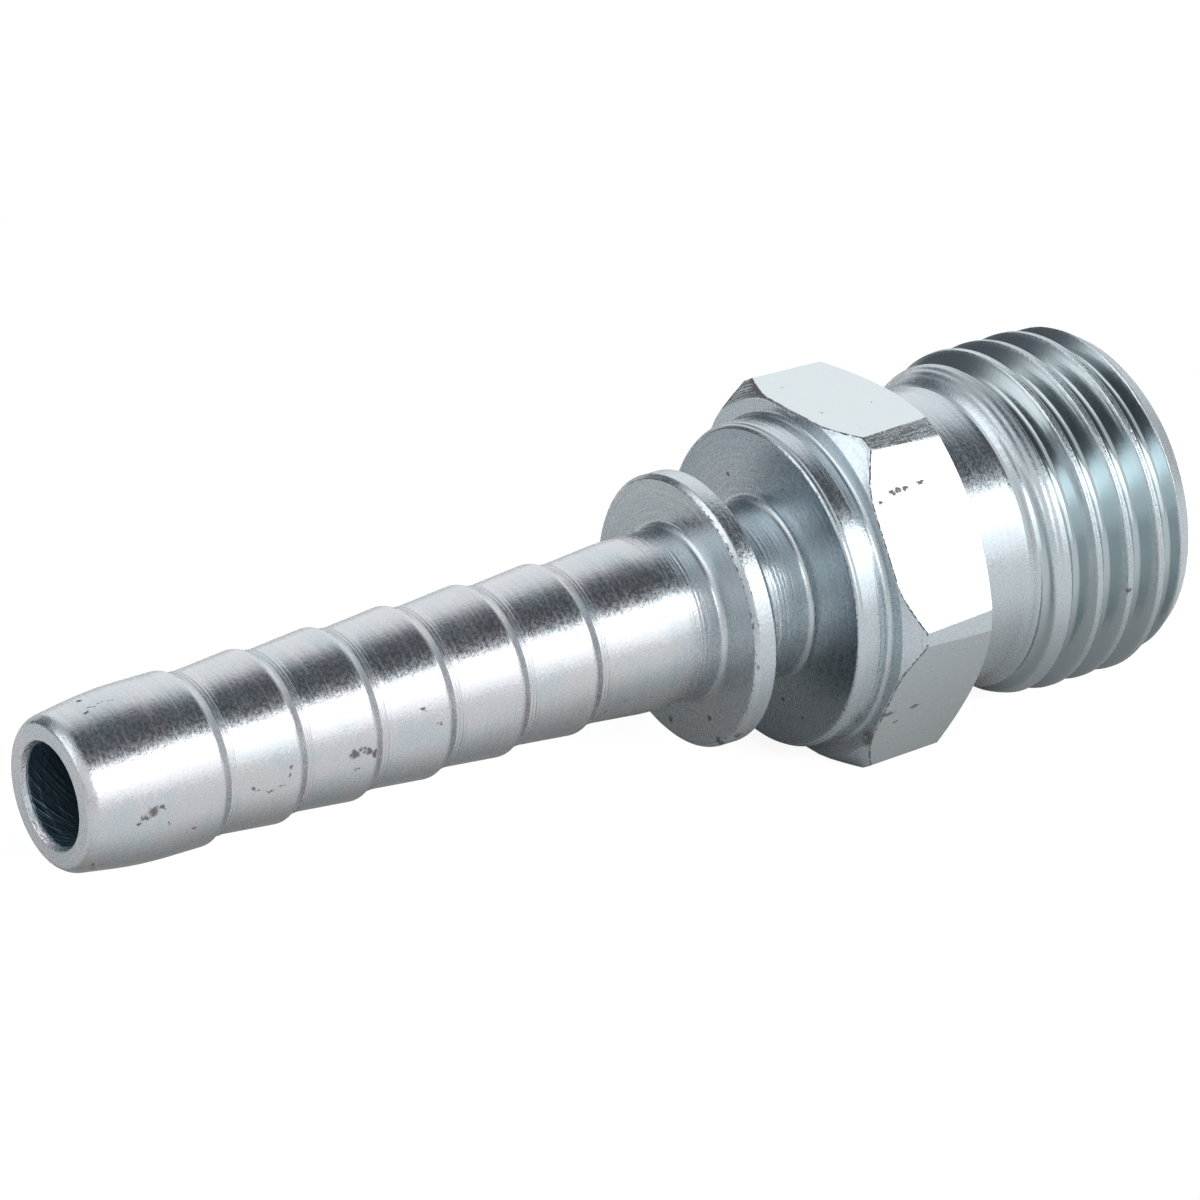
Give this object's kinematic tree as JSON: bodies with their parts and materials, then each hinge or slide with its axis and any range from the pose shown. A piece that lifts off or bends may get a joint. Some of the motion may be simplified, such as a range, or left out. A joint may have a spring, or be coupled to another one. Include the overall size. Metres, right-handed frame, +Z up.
{
  "type": "hose connector",
  "caption": "Straight hose connector turned from hexagon bar: barbed hose tail, ferrule flange and collar, spanner hexagon, and a male metric thread with a coned tube socket.",
  "frame": {"origin": "on the ground under the middle of the connector's length, where the bottom flat of the hexagon rests", "axes": "+X along the axis from the hose tail to the threaded end, +Z up through the top flat of the hexagon, +Y to the hexagon's corner on the left of +X"},
  "size_m": [0.0482, 0.0158, 0.014],
  "materials": {
    "zinc_plated_steel": "bright blue-white zinc plating over turned steel, with fine turning marks, a rolled thread and small dark pits"
  },
  "bodies": {
    "root": {"connector_body": "zinc_plated_steel"}
  },
  "joints": []
}
